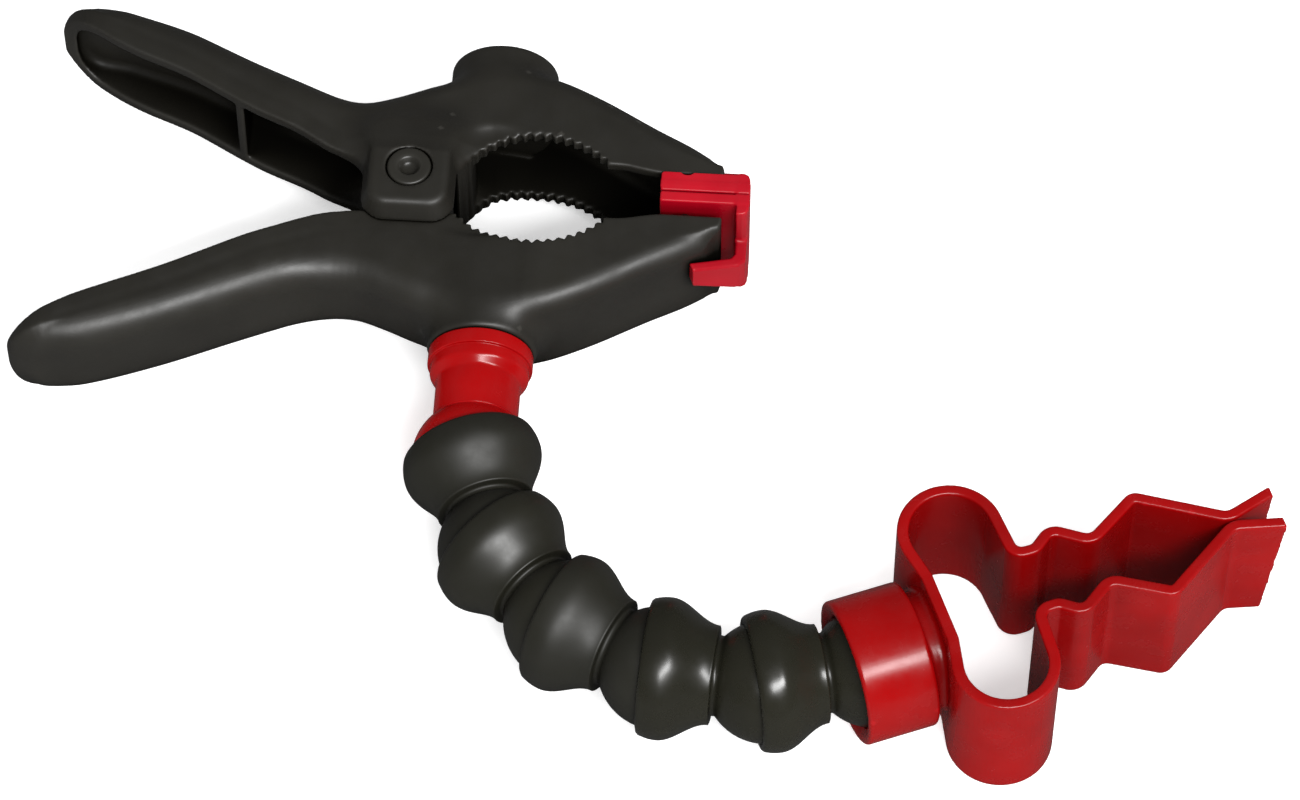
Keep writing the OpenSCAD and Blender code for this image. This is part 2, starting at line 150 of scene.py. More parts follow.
def polygon(x, y, pts):
    """Signed distance to a closed outline."""
    x, y = np.broadcast_arrays(x, y)
    d = np.full(x.shape, 1e9)
    inside = np.zeros(x.shape, bool)
    for (ax, ay), (bx, by) in zip(pts, list(pts[1:]) + [pts[0]]):
        ex, ey = bx - ax, by - ay
        wx, wy = x - ax, y - ay
        t = np.clip((wx * ex + wy * ey) / max(ex * ex + ey * ey, 1e-12), 0, 1)
        d = np.minimum(d, (wx - ex * t) ** 2 + (wy - ey * t) ** 2)
        if by != ay:
            inside ^= ((ay > y) != (by > y)) & (x < ex * (y - ay) / ey + ax)
    return np.where(inside, -1.0, 1.0) * np.sqrt(d)


def polyline(x, y, pts):
    """Distance to an open path."""
    x, y = np.broadcast_arrays(x, y)
    d = np.full(x.shape, 1e9)
    for (ax, ay), (bx, by) in zip(pts, pts[1:]):
        ex, ey = bx - ax, by - ay
        wx, wy = x - ax, y - ay
        t = np.clip((wx * ex + wy * ey) / max(ex * ex + ey * ey, 1e-12), 0, 1)
        d = np.minimum(d, (wx - ex * t) ** 2 + (wy - ey * t) ** 2)
    return np.sqrt(d)


def block(x, y, z, lo, hi, r=0.3):
    """Box with rounded edges."""
    q = [np.abs(v - (a + b) / 2) - (b - a) / 2 + r for v, a, b in zip((x, y, z), lo, hi)]
    out = np.sqrt(sum(np.maximum(v, 0) ** 2 for v in q))
    return out + np.minimum(np.maximum(np.maximum(q[0], q[1]), q[2]), 0) - r


def rod(u, v, w, r, w0, w1, edge=0.3):
    """Round bar of radius r along w, from w0 to w1."""
    return corner(np.hypot(u, v) - r, np.abs(w - (w0 + w1) / 2) - (w1 - w0) / 2, edge)


def smooth_curve(pts, x):
    """Smooth curve through points, as in the CAD source: a cubic between each pair."""
    p = np.array(pts, float)
    n = len(p)
    around = [p[min(i + 1, n - 1)] - p[max(i - 1, 0)] for i in range(n)]
    m = np.array([dy / dx for dx, dy in around])
    i = np.clip(np.searchsorted(p[:, 0], x) - 1, 0, n - 2)
    w = p[i + 1, 0] - p[i, 0]
    s = (x - p[i, 0]) / w
    q = 1 - s
    return (p[i, 1] * q * q * (1 + 2 * s) + p[i + 1, 1] * s * s * (1 + 2 * q)
            + w * (m[i] * q * q * s - m[i + 1] * s * s * q))


# ---------- surface nets: a closed quad mesh of a signed distance ----------
def mesh_of(name, sdf, lo, hi, step, flip_y=False, place=None):
    """One point in each grid cell that the surface crosses, one quad round each crossed grid edge."""
    axes = [np.arange(a - 2 * step, b + 2 * step, step) for a, b in zip(lo, hi)]
    grid = [a.reshape([-1 if i == k else 1 for i in range(3)]) for k, a in enumerate(axes)]
    f = np.broadcast_to(sdf(*grid), [len(a) for a in axes]).astype(np.float32)
    f = np.where(f == 0, np.float32(1e-6), f)
    inside = f < 0
    shape = np.array(f.shape)
    cells = shape - 1
    total = int(np.prod(cells))
    sums = [np.zeros(total) for _ in range(3)]
    count = np.zeros(total)
    quads = []
    for k in range(3):
        a_sl = [slice(None)] * 3
        b_sl = [slice(None)] * 3
        a_sl[k], b_sl[k] = slice(0, -1), slice(1, None)
        ijk = np.argwhere(inside[tuple(a_sl)] != inside[tuple(b_sl)])
        up = np.zeros(3, int)
        up[k] = 1
        fa = f[tuple(ijk.T)]
        fb = f[tuple((ijk + up).T)]
        where = ijk + up * (fa / (fa - fb))[:, None]
        p, q = [(1, 2), (2, 0), (0, 1)][k]
        ring = []
        for dp, dq in ((0, 0), (1, 0), (1, 1), (0, 1)):
            c = ijk.copy()
            c[:, p] -= dp
            c[:, q] -= dq
            flat = np.ravel_multi_index(tuple(c.T), tuple(cells))
            ring.append(flat)
            count += np.bincount(flat, minlength=total)
            for m in range(3):
                sums[m] += np.bincount(flat, weights=where[:, m], minlength=total)
        ring = np.stack(ring, 1)
        turn = fa > 0
        ring[turn] = ring[turn][:, ::-1]
        quads.append(ring)
    used = np.flatnonzero(count)
    index = np.full(total, -1)
    index[used] = np.arange(len(used))
    v = np.stack([sums[m][used] / count[used] for m in range(3)], 1) * step + [a[0] for a in axes]
    quads = index[np.concatenate(quads)]
    # two steps along the gradient, measured over a short way e, put the points on the surface
    e = 0.04
    for _ in range(2):
        d = sdf(v[:, 0], v[:, 1], v[:, 2])
        g = np.stack([(sdf(*(v + e * np.eye(3)[m]).T) - d) / e for m in range(3)], 1)
        move = d / np.maximum((g * g).sum(1), 0.25)
        v = v - np.clip(move, -0.4 * step, 0.4 * step)[:, None] * g
    return build(name, v, quads, flip_y, place)


def build(name, v, faces, flip_y=False, place=None, flat=0):
    """Mesh object from millimetres with z measured from the middle plane; the last faces may be flat."""
    v = np.array(v, float)
    if flip_y:
        v[:, 1] = -v[:, 1]
        faces = [q[::-1] for q in faces]
    if place is not None:
        v = place(v)
    v = v + [0, 0, MID_Z]
    mesh = bpy.data.meshes.new(name)
    mesh.from_pydata((v * MM).tolist(), [], [list(map(int, q)) for q in faces])
    mesh.polygons.foreach_set("use_smooth", [i < len(faces) - flat for i in range(len(faces))])
    obj = bpy.data.objects.new(name, mesh)
    bpy.context.scene.collection.objects.link(obj)
    return obj


# ---------- levers ----------
def ease(t):
    u = np.clip(t, 0, 1)
    return u * u * (3 - 2 * u)


def along(x, stretch):
    """Smooth step from 0 to 1 along a stretch (start, length)."""
    return ease((x - stretch[0]) / stretch[1])


def closing(pts, x):
    """An edge of the handle, carried straight on past its first point and closed towards the tip."""
    slope = (pts[1][1] - pts[0][1]) / (pts[1][0] - pts[0][0])
    left = np.clip((HANDLE_END_X - x) / HANDLE_END_LEN, 0, 1)
    rest = pts[0][1] + slope * (x - pts[0][0]) - HANDLE_TIP_Y
    return HANDLE_TIP_Y + rest * np.maximum(1 - left ** OVAL, 0) ** (1 / OVAL)


def outer_y(x):
    """Height of the lever's back edge."""
    return np.where(x < HANDLE_END_X, closing(OUTER, x), smooth_curve(OUTER, np.maximum(x, HANDLE_END_X)))


def throat_y(x):
    cx, cy, r = THROAT
    return cy + np.sqrt(np.maximum(r * r - (x - cx) ** 2, 0))


def inner_y(x):
    """Height of the lever's open edge: handle, hub, throat and jaw."""
    near = smooth_curve(INNER + [THROAT_START], np.clip(x, INNER[0][0], THROAT_START[0]))
    jaw = np.interp(x, [p[0] for p in JAW_INNER], [p[1] for p in JAW_INNER])
    y = np.where(x < THROAT_START[0], near, np.where(x < JAW_INNER[0][0], throat_y(x), jaw))
    return np.where(x < HANDLE_END_X, closing(INNER, x), y)


def half_z(x):
    """Half the lever's width."""
    left = np.maximum(0, (WIDTH_END_X - x) / WIDTH_END_LEN)
    end = HANDLE_HALF * np.sqrt(np.maximum(0.0, 1 - left ** WIDTH_OVAL))
    handle = (HANDLE_HALF - HUB_HALF) * along(x, HANDLE_FLARE)
    jaw = (JAW_HALF - HUB_HALF) * along(x, JAW_FLARE)
    return np.where(x < WIDTH_END_X, end, HUB_HALF + handle + jaw)


END_X = HANDLE_END_X - HANDLE_END_LEN * np.sin(np.linspace(math.pi / 2, 0, 16))[:-1]
BODY_X = np.concatenate([END_X, np.linspace(HANDLE_END_X, TIP_X, 90)])
# the jaw's tip is rounded off towards the outside
TIP = [(TIP_X - 2.2 + 2.2 * math.sin(a), float(outer_y(TIP_X)) - 1.2 + 1.2 * math.cos(a))
       for a in np.linspace(0.5, math.pi / 2, 6)]
SIDE = ([(x, float(outer_y(x))) for x in BODY_X if x < TIP_X - 1.5] + TIP
        + [(x, float(inner_y(x))) for x in BODY_X[::-1]])
OPEN_SIDE = [(x, float(outer_y(x))) for x in BODY_X] + [(TIP_X, -30), (BODY_X[0], -30)]
PLAN = [(x, float(half_z(x))) for x in BODY_X[::2]] + [(x, -float(half_z(x))) for x in BODY_X[::-2]]


def teeth(x, y):
    """Row of pointed notches along the throat, with steep flanks."""
    cx, cy, r = THROAT
    a = np.arctan2(y - cy, x - cx)
    turn = TOOTH_PITCH / r
    a0 = np.clip(np.round((a - TOOTH_FROM) / turn), 0, round(TOOTH_SPAN / turn)) * turn + TOOTH_FROM
    depth = TOOTH_DEPTH * (1 - 2 * np.abs(a - a0) / turn)
    return 0.7 * (np.hypot(x - cx, y - cy) - r - depth)


def lever_body(x, y, z, side_sign):
    """Hollow lever without its pivot; the front lever (1) is deeper and longer than the rear lever (-1)."""
    # the boss and the spring's way stay in place while the outline shifts
    bx, by = x, y
    forward = HANDLE_SHIFT + (JAW_SHIFT - HANDLE_SHIFT) * along(x, SHIFT_FORWARD)
    y = y - side_sign * forward + REAR_END_SHIFT * (1 - side_sign) * along(x, SHIFT_REAR_END)
    x = x - (BOTH_SHORTER - FRONT_LONGER * side_sign) * along(x, CHANGE_LENGTH)
    side = polygon(x, y, SIDE)
    plan = polygon(x, z, PLAN)
    open_side = polygon(x, y, OPEN_SIDE)
    edge = EDGE_R + (JAW_EDGE_R - EDGE_R) * along(x, CHANGE_EDGE)
    depth = ease((y - inner_y(x) - 0.6) / 5)
    d = corner(side, plan, RIM_R + (edge - RIM_R) * depth)
    boss = rod(bx - BOSS_X, z, by, BOSS["r"], BOSS["foot"] - 12, BOSS["end"], 0.9)
    boss = smax(boss, BOSS["foot"] - 6 - by, 1.0)
    d = smin(d, boss, 4.0)
    pocket = corner(open_side + WALL, plan + WALL, 1.8)
    for x0, x1 in ((RIB_X - RIB_HALF, RIB_X + RIB_HALF), SOLID_HUB, SOLID_TIP):
        pocket = smax(pocket, (x1 - x0) / 2 - np.abs(x - (x0 + x1) / 2), 1.0)
    floor = rod(bx - BOSS_X, z, by, BOSS["r"], BOSS["end"] - BOSS["bore_depth"] - WALL, 60, 0.5)
    pocket = smax(pocket, -floor, 1.0)
    d = smax(d, -pocket, 0.6)
    bore = rod(bx - BOSS_X, z, by, BOSS["bore_r"], BOSS["end"] - BOSS["bore_depth"], 60, 0.5)
    d = smax(d, -bore, 0.6)
    d = smax(d, -teeth(x, y), 0.2)
    way = block(bx, by, z, (LEG_WAY_X[0], -1, CHEEK - HUB_HALF), (LEG_WAY_X[1], LEG_WAY_Y, HUB_HALF - CHEEK))
    d = smax(d, -way, 0.5)
    bar = rod(x - PAD_BAR[0], y - PAD_BAR[1], z, BAR_R, 1 - JAW_HALF, JAW_HALF - 1)
    return np.minimum(d, bar)


def front_lever_sdf(x, y, z):
    d = lever_body(x, y, z, 1)
    knuckle = rod(x, y, z, KNUCKLE_R, -HUB_HALF, HUB_HALF, 0.5)
    d = smin(d, knuckle, 0.8)
    d = smax(d, -rod(x, y, z, COIL_ROOM_R, CHEEK - HUB_HALF, HUB_HALF - CHEEK), 0.4)
    way = block(x, y, z, (LEG_WAY_X[0], -LEG_WAY_Y, CHEEK - HUB_HALF),
                (LEG_WAY_X[1], LEG_WAY_Y, HUB_HALF - CHEEK))
    d = smax(d, -way, 0.4)
    return smax(d, -(np.hypot(x, y) - PIN_R + 0 * z), 0.4)


def rear_lever_sdf(x, y, z):
    az = np.abs(z)
    d = lever_body(x, y, z, -1)
    # ear: a block with round corners, flat round the pivot, then a slope that runs out in the lever's side
    lean = np.clip((az - EAR_Z0) / (EAR_Z1 - EAR_Z0), 0, 1) * EAR_BEVEL
    middle, half = (EAR_OUT - EAR_IN) / 2, (EAR_OUT + EAR_IN) / 2
    plan = np.hypot(np.maximum(np.abs(x) - EAR_HALF + EAR_CORNER, 0),
                    np.maximum(np.abs(y - middle) - half + EAR_CORNER, 0))
    top = az - EAR_Z1 + EAR_SLOPE * np.maximum(y - EAR_SLOPE_Y, 0)
    ear = corner(0.96 * (plan - EAR_CORNER + lean), 0.92 * top, 1.0)
    d = smin(d, ear, 2 + 5 * np.clip(y / 8, 0, 1))
    room = rod(x, y, z, KNUCKLE_R + 0.8, -EAR_Z0, EAR_Z0, 0.2)
    d = smax(d, -room, 0.3)
    d = smax(d, -block(x, y, z, (-20, -20, -EAR_Z0), (20, 0, EAR_Z0), 0.1), 0.3)
    d = smax(d, -(np.hypot(x, y) - PIN_R), 0.3)
    return smax(d, -rod(x, y, az, HEAD_ROOM_R, EAR_Z1 - HEAD_ROOM_DEPTH, EAR_Z1 + 5, 0.1), 0.35)


def make_levers():
    step = 0.47
    far = max(-FRONT_BOX[0][1], REAR_BOX[1][1])
    front = mesh_of("clamp_lever_front", front_lever_sdf, (FRONT_BOX[0][0], -9, -JAW_HALF),
                    (TIP_X, far, JAW_HALF), step, flip_y=True)
    rear = mesh_of("clamp_lever_rear", rear_lever_sdf, (REAR_BOX[0][0], -EAR_IN, -EAR_Z1),
                   (TIP_X, far, EAR_Z1), step)
    return front, rear


# ---------- jaw pads ----------
PAD_X0, PAD_X1 = 49.0, 66.3
PAD_Y0, PAD_Y1 = 0.15, 2.45
NOSE_WALL, NOSE_TOP, HOOK_TOP = 2.4, 4.8, 14.6
BAR_R, BARREL_R = 1.5, 2.7
GROOVE_PITCH, GROOVE_HALF, GROOVE_DEPTH = 1.7, 0.3, 0.35
GROOVES_X, GROOVES_HALF = 57, 6.5


def pad_sdf(x, y, z):
    """Plate, nose, cheek, snap barrel and hook of a pad, in the rear pad's orientation."""
    r = 0.35
    plate = block(x, y, z, (PAD_X0, PAD_Y0, -PAD_HALF), (PAD_X1, PAD_Y1, PAD_HALF), r)
    nose = polygon(x, y, [(PAD_X1 - NOSE_WALL, PAD_Y0), (PAD_X1, PAD_Y0), (PAD_X1, NOSE_TOP - 1.3),
                          (PAD_X1 - 0.35, NOSE_TOP - 0.45), (PAD_X1 - 1.2, NOSE_TOP),
                          (PAD_X1 - NOSE_WALL, NOSE_TOP)])
    d = smin(plate, corner(nose, np.abs(z) - PAD_HALF, r), 0.6)
    cheek = polygon(x, y, [(PAD_X0, 1), (PAD_X0, 4.1), (PAD_X0 + 0.5, 4.4), (PAD_X1 - 1, 4.4),
                           (PAD_X1 - 1, 1)])
    d = smin(d, corner(cheek, np.abs(z - PAD_HALF + 0.5) - 0.5, 0.25), 0.4)
    barrel = np.hypot(x - PAD_BAR[0], y - PAD_BAR[1]) - BARREL_R
    web = np.maximum(np.abs(x - PAD_BAR[0]) - BARREL_R, np.maximum(y - PAD_BAR[1], 1.5 - y))
    d = smin(d, corner(np.minimum(barrel, web), np.abs(z) - 6, 0.3), 0.5)
    hook = polygon(x, y, [(PAD_X1 - NOSE_WALL, NOSE_TOP - 1), (PAD_X1, NOSE_TOP - 1), (PAD_X1, 9),
                          (64.9, 10.5), (56.2, HOOK_TOP), (55.4, 13), (63.2, 9.2), (PAD_X1 - NOSE_WALL, 8)])
    across = polygon(x, z, [(PAD_X1, -3.4), (64, -3.9), (55, -7.7), (55, -2.3), (64, 4), (PAD_X1, 4.4)])
    d = smin(d, corner(hook, across, 0.5), 0.8)
    d = smax(d, -(np.hypot(x - PAD_BAR[0], y - PAD_BAR[1]) - BAR_R - 0.05 + 0 * z), 0.2)
    # the mouth through which the pad snaps on its bar
    slot = block(x, y, z, (PAD_BAR[0] - 1.2, PAD_BAR[1], -20), (PAD_BAR[0] + 1.2, 15, 20), 0.1)
    slot = np.maximum(slot, y - PAD_BAR[1] - 4)
    d = smax(d, -slot, 0.2)
    # fine grooves across the gripping face
    grooves = np.abs((x + GROOVE_PITCH / 2) % GROOVE_PITCH - GROOVE_PITCH / 2) - GROOVE_HALF
    face = np.maximum(grooves, np.maximum(y - PAD_Y0 - GROOVE_DEPTH, np.abs(z) - PAD_HALF + 1.5))
    return smax(d, -np.maximum(face, np.abs(x - GROOVES_X) - GROOVES_HALF), 0.25)


def make_pads():
    lo, hi = (PAD_X0, PAD_Y0, -PAD_HALF), (PAD_X1, HOOK_TOP, PAD_HALF)
    step = 0.27
    shift = np.array([0, JAW_SHIFT, 0])
    rear = mesh_of("jaw_pad_rear", pad_sdf, lo, hi, step, place=lambda v: v - shift)
    front = mesh_of("jaw_pad_front", pad_sdf, lo, hi, step, place=lambda v: v * [1, -1, -1] - shift)
    return front, rear


# ---------- turned pieces ----------
def lathe(name, profile, frame_of, around=128):
    """Closed turned mesh: profile is a closed loop of (radius, height), all radii above 0."""
    n = len(profile)
    r, h = np.array(profile, float).T
    a = np.linspace(0, 2 * math.pi, around, endpoint=False)
    v = np.stack([np.outer(np.cos(a), r), np.outer(np.sin(a), r), np.broadcast_to(h, (around, n))], -1)
    v = v.reshape(-1, 3)
    faces = [(i * n + j, i * n + (j + 1) % n, (i + 1) % around * n + (j + 1) % n, (i + 1) % around * n + j)
             for i in range(around) for j in range(n)]
    return build(name, v @ frame_of[0].T + frame_of[1], faces)


def axis_frame(origin, direction):
    """Rotation and shift that lay a turned piece's axis along direction in the middle plane."""
    d = np.array([direction[0], direction[1], 0.0])
    d /= np.linalg.norm(d)
    side = np.array([-d[1], d[0], 0.0])
    return np.stack([side, np.array([0, 0, 1.0]), d], 1), np.array([origin[0], origin[1], 0.0])


def arc(c, r, a0, a1, n):
    """Points (radius, height) on an arc; 0 degrees points outwards, 90 degrees up the axis."""
    return [(c[0] + r * math.cos(math.radians(a)), c[1] + r * math.sin(math.radians(a)))
            for a in np.linspace(a0, a1, n)]


def soften(loop, cuts):
    """Rounds the corners of a closed loop; cuts gives the radius at each point."""
    out = []
    n = len(loop)
    for i in range(n):
        p = np.array(loop[i], float)
        a, b = np.array(loop[i - 1], float), np.array(loop[(i + 1) % n], float)
        c = cuts[i]
        la, lb = np.linalg.norm(a - p), np.linalg.norm(b - p)
        if c <= 0:
            out.append(tuple(p))
            continue
        c = min(c, 0.45 * la, 0.45 * lb)
        s, e = p + (a - p) / la * c, p + (b - p) / lb * c
        for t in np.linspace(0, 1, 5):
            out.append(tuple((1 - t) ** 2 * s + 2 * t * (1 - t) * p + t * t * e))
    return out


BALL_R = 11.6
SOCKET_R = 11.65
HOSE_BORE = 5.5
NECK_R = 7.6
BALL_END = 6.5
LIP_T, LIP_R = -2.8, 12.7
TAPER_END = (9.4, 10.6)
BULGE_R = 13.5


def segment_r(t):
    """Outer radius of a segment at height t: widest at 1, in to the lip below and along the taper above."""
    if t < 1:
        return BULGE_R - (BULGE_R - LIP_R) * ((t - 1) / (LIP_T - 1)) ** 2
    fall = (1 + math.cos(math.pi * (t - 1) / (TAPER_END[1] - 1))) / 2
    return TAPER_END[0] + (BULGE_R - TAPER_END[0]) * fall


def ball_profile(c, neck=NECK_R):
    """Outside of a ball at height c, from its neck to its cut end, then its mouth."""
    a0 = -math.degrees(math.acos(neck / BALL_R))
    a1 = math.degrees(math.asin(BALL_END / BALL_R))
    top = BALL_R * math.cos(math.radians(a1))
    pts = arc((0, c), BALL_R, a0, a1 - 3, 26)
    return pts + [(top - 0.1, c + BALL_END - 0.25), (top - 0.45, c + BALL_END),
                  (HOSE_BORE + 0.5, c + BALL_END), (HOSE_BORE + 0.12, c + BALL_END - 0.15),
                  (HOSE_BORE, c + BALL_END - 0.5)]


def make_segment(i):
    outside = [(segment_r(t), t) for t in np.linspace(LIP_T + 0.5, TAPER_END[1] - 0.4, 30)]
    lip_in = math.sqrt(SOCKET_R ** 2 - LIP_T ** 2)
    lip = [(lip_in, LIP_T + 0.25), (lip_in + 0.25, LIP_T + 0.03), (LIP_R - 0.6, LIP_T),
           (LIP_R - 0.15, LIP_T + 0.14)]
    shoulder = [(TAPER_END[0] + 0.02, TAPER_END[1] - 0.12), (TAPER_END[0] - 0.3, TAPER_END[1]),
                (NECK_R + 0.5, TAPER_END[1]), (NECK_R + 0.1, TAPER_END[1] + 0.15),
                (NECK_R, TAPER_END[1] + 0.5)]
    floor_a = math.degrees(math.acos(HOSE_BORE / SOCKET_R))
    socket = arc((0, 0), SOCKET_R, floor_a, math.degrees(math.asin((LIP_T + 0.5) / SOCKET_R)), 30)
    profile = lip + outside + shoulder + ball_profile(PITCH) + socket
    return lathe(f"hose_link_{i + 1}", profile, axis_frame(BALLS[i], BALLS[i + 1] - BALLS[i]))


def make_connector():
    """Plug in the boss, flange against its face, a wide part, a waist and the first ball."""
    face, c = BOSS["end"] + 0.2, -BALLS[0][1]
    plug_r, bore_end, flange_r, wide_r, neck = 7.95, 22.5, 10.2, 9.6, 8.2
    loop = [(HOSE_BORE, bore_end), (plug_r, bore_end), (plug_r, face), (flange_r, face),
            (flange_r, face + 3.2), (wide_r, face + 3.2), (wide_r, face + 5.4), (neck, face + 7)]
    cuts = [0.3, 0.5, 0, 0.5, 0.7, 0.25, 0.6, 0.5]
    loop = loop + [(neck, c - math.sqrt(BALL_R ** 2 - neck ** 2) - 0.2)]
    body = soften(loop, cuts + [0.3])
    return lathe("connector", body + ball_profile(c, neck), axis_frame((BOSS_X, 0), (0, -1)))


def make_rivet():
    """Solid rivet: a flat head on each end with a rounded rim and a shallow central dimple."""
    t, r, head, dimple = EAR_Z1, 3.0, 4.3, 1.9
    rim = arc((head - 0.55, t - 0.55), 0.55, -10, 90, 8)
    bowl = [(dimple + 0.45, t - 0.03), (dimple + 0.1, t - 0.3), (dimple - 0.25, t - 1.0),
            (dimple - 0.7, t - 1.45), (0.4, t - 1.6)]
    top = [(r, t - 1.1), (head - 0.1, t - 1.1)] + rim + bowl
    profile = top[::-1] + [(a, -b) for a, b in top]
    around, n = 96, len(profile)
    angles = np.linspace(0, 2 * math.pi, around, endpoint=False)
    v = [(pr * math.cos(a), pr * math.sin(a), ph) for a in angles for pr, ph in profile]
    faces = [(i * n + j, i * n + j + 1, (i + 1) % around * n + j + 1, (i + 1) % around * n + j)
             for i in range(around) for j in range(n - 1)]
    for ring, tip in ((0, t - 1.62), (n - 1, 1.62 - t)):
        v.append((0, 0, tip))
        c = len(v) - 1
        for i in range(around):
            a, b = i * n + ring, (i + 1) % around * n + ring
            faces.append((c, a, b) if ring == 0 else (c, b, a))
    return build("pivot_rivet_visual", v, faces)


# ---------- spring ----------
def tube(name, path, r, around=16):
    """Round wire along a path, with flat ends."""
    p = np.array(path, float)
    d = np.gradient(p, axis=0)
    d /= np.linalg.norm(d, axis=1)[:, None]
    b = np.array([0, 0, 1.0]) - d[:, 2:3] * d
    b /= np.linalg.norm(b, axis=1)[:, None]
    n = np.cross(b, d)
    a = np.linspace(0, 2 * math.pi, around, endpoint=False)
    ring = n[:, None] * np.cos(a)[None, :, None] + b[:, None] * np.sin(a)[None, :, None]
    v = (p[:, None] + r * ring).reshape(-1, 3)
    k, m = len(p), around
    faces = [(i * m + j, (i + 1) * m + j, (i + 1) * m + (j + 1) % m, i * m + (j + 1) % m)
             for i in range(k - 1) for j in range(m)]
    caps = [list(range(m)), list(range((k - 1) * m, k * m))[::-1]]
    return build(name, v, faces + caps, flat=len(caps))


def make_spring():
    """Four turns between the cheeks; the front leg is one with the coil, the rear leg a piece of its own."""
    coil_r, half_h, end, wire = 5.2, 5.0, (-29.5, 21.6), 1.0
    reach = math.hypot(*end)
    leave = math.atan2(end[1], end[0]) - math.acos(coil_r / reach)
    turn = 8 * math.pi + 2 * leave
    coil = [(coil_r * math.cos(a), coil_r * math.sin(a), half_h * (2 * t - 1))
            for t in np.linspace(0, 1, 260) for a in [turn * t - leave]]
    start = np.array(coil[0])
    front_end, rear_end = np.array([end[0], -end[1], -half_h]), np.array([*end, half_h])
    leg_a = [tuple((1 - t) * front_end + t * start) for t in np.linspace(0, 0.97, 30)]
    last = np.array(coil[-1])
    leg_b = [tuple((1 - t) * last + t * rear_end) for t in np.linspace(0.02, 1, 30)]
    coil_part = tube("spring_coil", leg_a + coil, wire)
    leg_part = tube("spring_rear_leg", [tuple(last)] + leg_b, wire)
    return coil_part, leg_part


# ---------- airbrush clip ----------
CLIP_WALL = 2.2
WEB_U = 18.3
LOBE, LOBE_R = (25.9, 14.8), 9.0
# corners of an arm's middle line: (along, aside, radius)
ARM = [(34.9, 15, 0), (35.4, 6.3, 2.4), (39.6, 6.2, 2.4), (43.6, 9.2, 2.6), (50.3, 4.5, 3),
       (60.8, 10.8, 1.6), (76.3, 1.0, 3.5), (86, 3.6, 0)]
ARM_END, ARM_SLANT = 85.9, 0.09
COLLAR_R, COLLAR_LEN, BALL_IN_COLLAR = 14.0, 14.0, 5.5
# the collar's slimmer middle, which runs on to the web, and its mouth, which widens over MOUTH_BEVEL
NECK_STEP, NECK_MID, NECK_HALF = 2.6, 10, 8.6
MOUTH_R, MOUTH_FLARE, MOUTH_BEVEL = 10.5, 2.0, 1.3


def fillet(a, v, b, n=8):
    """Points of the arc that rounds corner v, of radius v[2], between a and b."""
    p = np.array(v[:2], float)
    d0, d1 = np.array(a[:2], float) - p, np.array(b[:2], float) - p
    u0, u1 = d0 / np.linalg.norm(d0), d1 / np.linalg.norm(d1)
    half = math.acos(float(u0 @ u1)) / 2
    mid = (u0 + u1) / np.linalg.norm(u0 + u1)
    c = p + mid * v[2] / math.sin(half)
    s, e = p + u0 * v[2] / math.tan(half) - c, p + u1 * v[2] / math.tan(half) - c
    a0, a1 = math.atan2(s[1], s[0]), math.atan2(e[1], e[0])
    da = (a1 - a0 + math.pi) % (2 * math.pi) - math.pi
    return [tuple(c + v[2] * np.array([math.cos(a), math.sin(a)])) for a in a0 + da * np.linspace(0, 1, n)]


def clip_path():
    """Middle line of one side of the clip: web, lobe and wavy arm."""
    pts = [(WEB_U, 0), (WEB_U, 7), (17.6, 10.5)]
    pts += [(LOBE[0] + LOBE_R * math.cos(a), LOBE[1] + LOBE_R * math.sin(a))
            for a in np.linspace(math.radians(190), 0, 30)]
    for i in range(1, len(ARM) - 1):
        pts += fillet(ARM[i - 1], ARM[i], ARM[i + 1])
    return pts + [ARM[-1][:2]]


CLIP_PATH = clip_path()


def clip_sdf(u, v, z):
    """Clip along its own axis u: collar with its socket, then the bent band of web, lobes and arms."""
    band = polyline(u, np.abs(v), CLIP_PATH) - CLIP_WALL / 2
    # the ends are cut off at a slant
    band = np.maximum(band, u - ARM_END + ARM_SLANT * (CLIP_HALF - z))
    d = corner(band, np.abs(z) - CLIP_HALF, 0.5)
    radial = np.hypot(v, z)
    collar = corner(radial - COLLAR_R, np.abs(u - COLLAR_LEN / 2) - COLLAR_LEN / 2, 0.7)
    neck = corner(radial - COLLAR_R + NECK_STEP, np.abs(u - NECK_MID) - NECK_HALF, 0.3)
    d = smin(d, smin(collar, neck, 0.8), 1.2)
    ball = np.sqrt((u - BALL_IN_COLLAR) ** 2 + radial ** 2) - SOCKET_R
    d = smax(d, -np.maximum(ball, u - 15.2), 0.4)
    mouth = radial - MOUTH_R - MOUTH_FLARE * np.clip(1 - u / MOUTH_BEVEL, 0, 3)
    return smax(d, -np.maximum(mouth, u - 1.5), 0.4)


def make_clip():
    step = 0.42
    side = np.array([-CLIP_AXIS[1], CLIP_AXIS[0], 0])
    origin = np.array([*BALLS[5][:2], 0]) - BALL_IN_COLLAR * CLIP_AXIS

    def place(v):
        return origin + v[:, :1] * CLIP_AXIS + v[:, 1:2] * side + v[:, 2:] * np.array([0, 0, 1.0])

    v_max = LOBE[1] + LOBE_R + CLIP_WALL
    return mesh_of("clip_moulding", clip_sdf, (0, -v_max, -CLIP_HALF), (ARM_END + 1.1, v_max, CLIP_HALF),
                   step, place=place)


